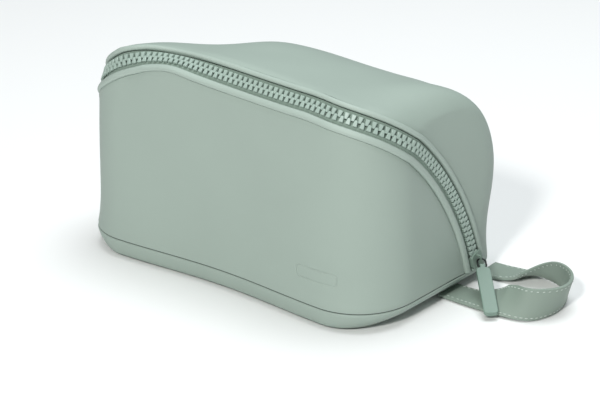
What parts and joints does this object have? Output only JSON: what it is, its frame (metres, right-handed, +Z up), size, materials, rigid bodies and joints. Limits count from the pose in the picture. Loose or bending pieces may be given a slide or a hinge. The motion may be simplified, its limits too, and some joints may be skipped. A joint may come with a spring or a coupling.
{
  "type": "zipped wash bag",
  "caption": "Padded wash bag with a wide curved zip over the top and ends, a slider with link and rubber pull, and a flat wrist strap.",
  "frame": {"origin": "on the underside of the base, under the middle of the bag's body", "axes": "+Z up, -Y towards the front panel, +X along the bag towards the end with the wrist strap"},
  "size_m": [0.3163, 0.1483, 0.148],
  "materials": {
    "leather": "fine pebbled coated leather, satin, sage green",
    "lining": "plain woven lining, matt",
    "padding": "closed-cell foam padding, matt",
    "board": "stiffener board, matt",
    "tape": "herringbone zip tape, matt",
    "teeth": "moulded zip teeth, semi-gloss",
    "slider": "lacquered die casting, satin",
    "dark_metal": "dark plated steel, satin",
    "rubber": "moulded soft rubber, satin"
  },
  "bodies": {
    "bag": {"base_panel": "leather", "base_board": "board", "base_lining": "lining", "end_foam_left": "padding", "end_foam_right": "padding", "rear_panel": "leather", "rear_foam": "padding", "rear_lining": "lining", "rear_binding": "leather", "rear_zip_tape": "tape", "rear_teeth": "teeth", "zip_stop_left": "teeth", "zip_stop_right": "teeth", "strap_front_end": "leather", "strap_rear_end": "leather"},
    "slider": {"slider_body": "slider"},
    "link": {"pull_link": "dark_metal"},
    "pull": {"pull_tab": "rubber"},
    "strap": {"strap_loop": "leather"},
    "front": {"front_panel": "leather", "front_foam": "padding", "front_lining": "lining", "front_piping": "leather", "front_zip_tape": "tape", "front_teeth": "teeth"}
  },
  "joints": [
    {"name": "mouth_opening", "type": "hinge", "parent": "bag", "child": "front", "pos_m": [0, -0.07, 0.013], "axis": [1, 0, 0], "range_deg": [0, 35], "deforming": ["front_panel", "front_lining", "front_piping", "front_zip_tape", "front_teeth"]},
    {"name": "zip_travel", "type": "hinge", "parent": "bag", "child": "slider", "pos_m": [0.12291, -0.16334, -0.04596], "axis": [1, 0, 0.0013], "range_deg": [0, 28.5]},
    {"name": "link_swing", "type": "hinge", "parent": "slider", "child": "link", "pos_m": [0.12945, 0.03376, 0.02101], "axis": [-0.7229, -0.6909, 0], "range_deg": [0, 50]},
    {"name": "tab_swing", "type": "hinge", "parent": "link", "child": "pull", "pos_m": [0.13304, 0.03, 0.01893], "axis": [-0.7229, -0.6909, 0], "range_deg": [0, 40]},
    {"name": "strap_sway", "type": "hinge", "parent": "bag", "child": "strap", "pos_m": [0.1185, 0.0412, 0], "axis": [0, 0, 1], "range_deg": [0, 15], "deforming": ["strap_loop"]}
  ]
}
